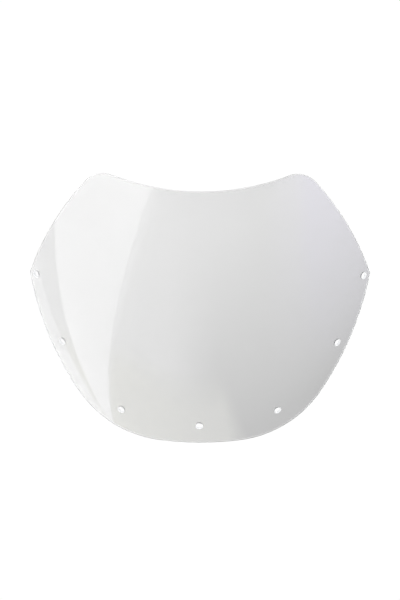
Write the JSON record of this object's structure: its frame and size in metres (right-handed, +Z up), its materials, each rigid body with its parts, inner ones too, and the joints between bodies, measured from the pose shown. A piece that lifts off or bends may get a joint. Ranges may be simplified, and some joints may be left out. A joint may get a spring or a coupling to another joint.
{
  "type": "windshield screen",
  "caption": "Clear double-curved windscreen sheet with a dipped top edge, pointed side corners and screw holes along its lower rim.",
  "frame": {"origin": "centre of the middle screw hole, halfway through the sheet", "axes": "+X across the screen to the rider's left, -Y forward along the middle screw hole's axis, +Z up"},
  "size_m": [0.3778, 0.1137, 0.3021],
  "materials": {
    "clear_sheet": "polished clear plastic with a very light smoke tint, flame-polished edges"
  },
  "bodies": {
    "root": {"screen_panel": "clear_sheet"}
  },
  "joints": []
}
